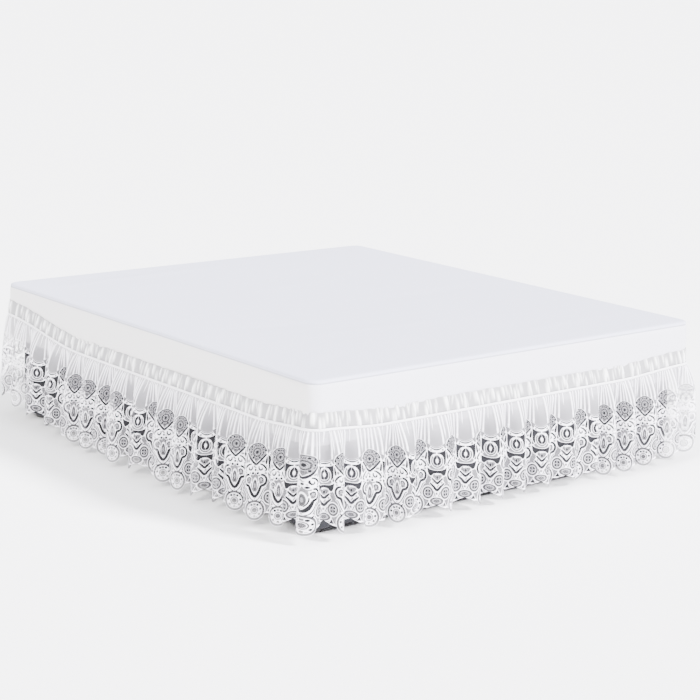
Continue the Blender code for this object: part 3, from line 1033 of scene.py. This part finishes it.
class BEDSKIRT_OT_frill(bpy.types.Operator):
    """Stand the gathered heading frill on the band"""
    bl_idname = "bedskirt.frill"
    bl_label = "Heading frill"

    def execute(self, context):
        settings = context.scene.bedskirt_frill
        base = np.arange(FRILL_STEPS) / FRILL_STEPS * ROUND_LENGTH
        points = []
        crests = []
        for row in range(FRILL_ROWS):
            high = row / (FRILL_ROWS - 1)
            crest = ridges_out(base, high)
            ripple = sum(np.sin(base * rate + start) for rate, start in EDGE_WAVES)
            out = FRILL_FOOT_OUT * (1 - high) + FRILL_TOP_OUT * high + crest
            foot = BAND_FOOT + BAND_HEIGHT - FRILL_LAP
            top = (FRILL_TOP + EDGE_FULLNESS * ridges_out(base, 1.0) - EDGE_FALL
                   + EDGE_WAVE * ripple)
            z = foot + (top - foot) * high + lift(base)
            x, y = outline(base, out)
            points.append(np.stack([x, y, z], 1))
            crests.append(crest)
        piece = new_piece("heading_frill_cloth", np.vstack(points),
                          ring_faces(FRILL_STEPS, FRILL_ROWS), frill_material(settings))
        # How far each point stands out on a ridge; the frill's material turns this into painted
        # shade in the valleys and painted light on the crests
        crest_layer = piece.data.attributes.new("Crest", "FLOAT", "POINT")
        crest_layer.data.foreach_set("value", np.clip(np.concatenate(crests) / FRILL_CREST, 0, 1))
        wall = piece.modifiers.new("Thickness", "SOLIDIFY")
        wall.thickness = settings.thickness
        wall.offset = 0.0
        apply_all(piece)
        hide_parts("heading_frill")
        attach(piece, "root")
        return {"FINISHED"}


def ridges_out(along, high):
    """How far the frill's ridges stand out at a share of its height."""
    total = np.zeros_like(along)
    towards = -np.sin(2 * math.pi * along / ROUND_LENGTH)
    towards = towards / (np.abs(towards) + 0.15)
    for count, out, half_width, lean, start, peak, end in FRILL_RIDGES:
        reach = (peak - start) if high < peak else (end - peak)
        level = max(0.0, math.cos(math.pi / 2 * min(1.0, abs(high - peak) / reach)))
        pitch = ROUND_LENGTH / count
        place = along - lean * (high - 0.3) * towards
        for shift in (-1, 0, 1):
            number = np.mod(np.floor(place / pitch) + shift, count)
            middle = (np.floor(place / pitch) + shift + 0.5
                      + 0.42 * np.sin(number * 2.39 + count)) * pitch
            size = 0.76 + 0.24 * np.sin(number * 4.13 + 0.7 * count)
            wide = half_width * (0.85 + 0.35 * np.sin(number * 1.31))
            ridge = out * level * size * np.exp(-((place - middle) / wide) ** 2)
            total = np.maximum(total, ridge)
    return total


class BEDSKIRT_OT_band(bpy.types.Operator):
    """Run the elastic band round the mattress"""
    bl_idname = "bedskirt.band"
    bl_label = "Elastic band"

    def execute(self, context):
        settings = context.scene.bedskirt_frill
        along = np.arange(BAND_STEPS) / BAND_STEPS * ROUND_LENGTH
        ripple = np.sin(along * 330.0) * 0.5 + np.sin(along * 121.0 + 0.6) * 0.5
        low = BAND_FOOT + lift(along)
        points = []
        for out, up in BAND_SECTION:
            x, y = outline(along, out + 0.0005 * ripple)
            z = low + BAND_HEIGHT * up + 0.0004 * ripple
            points.append(np.stack([x, y, z], 1))
        points.append(points[0])
        piece = new_piece("elastic_band_strip", np.vstack(points),
                          ring_faces(BAND_STEPS, len(points)), band_material(settings))
        layer = piece.data.uv_layers.new(name="Band")
        uv = []
        count = len(BAND_SECTION)
        for row in range(count):
            low_v, high_v = row / count, (row + 1) / count
            for start in along:
                end = start + ROUND_LENGTH / BAND_STEPS
                uv.extend(((start, low_v), (end, low_v), (end, high_v), (start, high_v)))
        layer.uv.foreach_set("vector", np.array(uv, np.float32).ravel())
        close_seams(piece)
        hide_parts("elastic_band")
        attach(piece, "root")
        return {"FINISHED"}


COVER_STEPS = 480
# Rows of the cover's underside and top, as shares of the way out from the middle
UNDERSIDE_SHARES = (0.05, 0.35, 0.7, 0.95)
TOP_SHARES = np.linspace(0.985, 0.02, 64)
# Slow waves along the cover's side. Columns: size, rate round the bed, and turn with the height.
# Nearer than this to its foot and its top edge only a share of them is left
SWAYS = ((0.0012, 5.3, 0.0), (0.0008, 13.1, 22.0))
SWAY_FROM = 0.03
SWAY_TO = 0.016
EDGE_SWAY = 0.25
# Soft creases on the mattress top. Columns: x and y they run from and to, half width, and height,
# below zero for a trough
CREASES = (
    (-0.88, 0.80, 0.10, 0.86, 0.030, 0.0022),
    (-0.80, -0.20, -0.30, -0.32, 0.040, -0.0014),
    (-0.60, -0.45, 0.25, -0.50, 0.035, 0.0012),
    (0.05, -0.10, 0.70, -0.05, 0.045, -0.0013),
    (-0.40, 0.30, 0.50, 0.42, 0.050, 0.0012),
    (0.10, -0.80, 0.75, -0.74, 0.030, 0.0010),
    (-0.82, -0.86, -0.45, -0.70, 0.030, -0.0010),
)


def creases(x, y):
    """How high the creases stand at points of the mattress top."""
    height = np.zeros_like(x)
    for x0, y0, x1, y1, half_width, rise in CREASES:
        run_x, run_y = x1 - x0, y1 - y0
        length = math.hypot(run_x, run_y)
        share = np.clip(((x - x0) * run_x + (y - y0) * run_y) / length ** 2, 0, 1)
        away = np.hypot(x - x0 - share * run_x, y - y0 - share * run_y)
        ends = np.sin(np.pi * np.clip(share, 0.02, 0.98)) ** 0.6
        height += rise * ends * np.exp(-((away / half_width) ** 2))
    return height


class BEDSKIRT_OT_mattress(bpy.types.Operator):
    """Shape the mattress in its close fitted cover"""
    bl_idname = "bedskirt.mattress"
    bl_label = "Mattress and cover"

    def execute(self, context):
        settings = context.scene.bedskirt_mattress
        top, foot = MATTRESS_HIGH[2], MATTRESS_LOW[2]
        seam = settings.seam_depth
        # out from the side, height
        profile = [(-0.012, foot), (-0.004, foot + 0.003), (0.0, foot + 0.011),
                   (0.001, foot + 0.05), (0.001, foot + 0.10), (0.002, foot + 0.15),
                   (0.002, top - 0.030), (0.001, top - 0.018), (-0.0005, top - 0.0145),
                   (0.001 - seam, top - 0.012), (-0.0005, top - 0.0095),
                   (-0.001, top - 0.006), (-0.004, top - 0.002), (-0.010, top - 0.0002),
                   (-0.018, top + 0.0004)]
        columns = COVER_STEPS
        along = np.arange(columns) / columns * ROUND_LENGTH
        rows = []
        centre_low = np.array([[0.0, 0.0, foot]])
        for share in UNDERSIDE_SHARES:
            x, y = outline(along, profile[0][0])
            rows.append(np.stack([x * share, y * share, np.full(columns, foot)], 1))
        for out, z in profile:
            sway = sum(size * np.sin(along * rate + z * turn) for size, rate, turn in SWAYS)
            weight = 1.0 if foot + SWAY_FROM < z < top - SWAY_TO else EDGE_SWAY
            x, y = outline(along, out + sway * weight)
            rows.append(np.stack([x, y, np.full(columns, z)], 1))
        edge_x, edge_y = outline(along, profile[-1][0])
        for share in TOP_SHARES:
            x, y = edge_x * share, edge_y * share
            rise = settings.crown * (1 - share ** 4)
            rows.append(np.stack([x, y, profile[-1][1] + rise + creases(x, y)], 1))
        centre_high = np.array([[0.0, 0.0, rows[-1][:, 2].mean()]])
        points = np.vstack([*rows, centre_low, centre_high])
        faces = ring_faces(columns, len(rows))
        last = (len(rows) - 1) * columns
        low_pole, high_pole = len(rows) * columns, len(rows) * columns + 1
        for column in range(columns):
            after = (column + 1) % columns
            faces.append((after, column, low_pole))
            faces.append((last + column, last + after, high_pole))
        piece = new_piece("mattress_cover", points, faces, cover_material(settings))
        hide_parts("mattress")
        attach(piece, "root")
        return {"FINISHED"}


class BEDSKIRT_OT_base(bpy.types.Operator):
    """Finish the bed base and its legs"""
    bl_idname = "bedskirt.base"
    bl_label = "Base and legs"

    def execute(self, context):
        settings = context.scene.bedskirt_base
        wood = base_material(settings)
        black = leg_material(settings)
        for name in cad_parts:
            if name == "bed_base" or name.startswith("leg_"):
                node = bpy.data.objects[name]
                material = wood if name == "bed_base" else black
                for slot in node.material_slots:
                    slot.material = material
        return {"FINISHED"}


PICTURE_PIXELS = 700.0
SENSOR_WIDTH = 36.0
FLOOR_SIZE = 240.0
SKY_COLOUR = (0.97, 0.98, 1.0, 1.0)
SKY_STRENGTH = 0.6
# Studio light. Columns: name, azimuth it comes from (0 from the foot, 90 from the right side),
# elevation, spread, strength, colour
LAMPS = (
    ("key", 28.0, 36.0, 12.0, 19.0, (0.97, 0.96, 1.0)),
    ("over", 0.0, 85.0, 60.0, 3.5, (0.90, 0.93, 1.0)),
    ("fill", -70.0, 36.0, 24.0, 7.4, (1.0, 0.98, 0.97)),
)


class BEDSKIRT_OT_stage(bpy.types.Operator):
    """Set out the floor, the light and the camera"""
    bl_idname = "bedskirt.stage"
    bl_label = "Stage"

    def execute(self, context):
        settings = context.scene.bedskirt_stage
        bpy.ops.object.select_all(action="DESELECT")
        bpy.ops.mesh.primitive_plane_add(size=FLOOR_SIZE, location=(0.0, 0.0, 0.0))
        floor = context.active_object
        floor.name = "floor"
        board = Board("floor_paint")
        grain = board.noise(board.object_place(), 1.5)
        board.finish(board.mix(grain, shade(settings.floor_colour, 0.99),
                               shade(settings.floor_colour, 1.0)), 0.9)
        floor.data.materials.append(board.material)
        self.light(context)
        self.camera(context, settings)
        return {"FINISHED"}

    def light(self, context):
        world = bpy.data.worlds.new("studio")
        context.scene.world = world
        world.use_nodes = True
        background = world.node_tree.nodes["Background"]
        background.inputs["Color"].default_value = SKY_COLOUR
        background.inputs["Strength"].default_value = SKY_STRENGTH
        for name, azimuth, elevation, spread, strength, colour in LAMPS:
            data = bpy.data.lights.new(name, "SUN")
            data.angle = math.radians(spread)
            data.energy = strength
            data.color = colour
            lamp = bpy.data.objects.new(name, data)
            lamp.rotation_euler = Euler((math.radians(90 - elevation), 0.0,
                                         math.radians(azimuth)))
            lamp.location = (0.0, 0.0, 4.0)
            context.scene.collection.objects.link(lamp)

    def camera(self, context, settings):
        yaw, pitch, roll = (math.radians(a) for a in settings.camera_turn)
        data = bpy.data.cameras.new("view")
        data.sensor_width = SENSOR_WIDTH
        data.lens = settings.focal_pixels / PICTURE_PIXELS * SENSOR_WIDTH
        data.clip_end = 200.0
        camera = bpy.data.objects.new("view", data)
        aim = Vector((math.sin(yaw) * math.cos(pitch), math.cos(yaw) * math.cos(pitch),
                      -math.sin(pitch)))
        right = Vector((math.cos(yaw), -math.sin(yaw), 0.0))
        up = right.cross(aim)
        turned_right = math.cos(roll) * right + math.sin(roll) * up
        turned_up = -math.sin(roll) * right + math.cos(roll) * up
        matrix = Matrix((turned_right, turned_up, -aim)).transposed().to_4x4()
        matrix.translation = Vector(settings.camera_place)
        camera.matrix_world = matrix
        context.scene.collection.objects.link(camera)
        context.scene.camera = camera


class BEDSKIRT_PT_panel(bpy.types.Panel):
    """Lists the pieces in the sidebar"""
    bl_idname = "BEDSKIRT_PT_panel"
    bl_label = "Bed skirt"
    bl_space_type = "VIEW_3D"
    bl_region_type = "UI"
    bl_category = "Bed skirt"

    def draw(self, context):
        for operator in OPERATORS:
            self.layout.operator(operator.bl_idname)


SETTINGS = {
    "bedskirt_lace": SkirtSettings,
    "bedskirt_frill": FrillSettings,
    "bedskirt_mattress": MattressSettings,
    "bedskirt_base": BaseSettings,
    "bedskirt_stage": StageSettings,
}
OPERATORS = (BEDSKIRT_OT_stage, BEDSKIRT_OT_mattress, BEDSKIRT_OT_base, BEDSKIRT_OT_band,
             BEDSKIRT_OT_frill, BEDSKIRT_OT_lace)


def register():
    for group in (*SETTINGS.values(), *OPERATORS, BEDSKIRT_PT_panel):
        bpy.utils.register_class(group)
    for name, group in SETTINGS.items():
        setattr(bpy.types.Scene, name, PointerProperty(type=group))


def unregister():
    for name in SETTINGS:
        delattr(bpy.types.Scene, name)
    for group in reversed((*SETTINGS.values(), *OPERATORS, BEDSKIRT_PT_panel)):
        bpy.utils.unregister_class(group)


def main():
    register()
    bpy.ops.bedskirt.stage()
    bpy.ops.bedskirt.mattress()
    bpy.ops.bedskirt.base()
    bpy.ops.bedskirt.band()
    bpy.ops.bedskirt.frill()
    bpy.ops.bedskirt.lace()


if __name__ == "__main__":
    main()
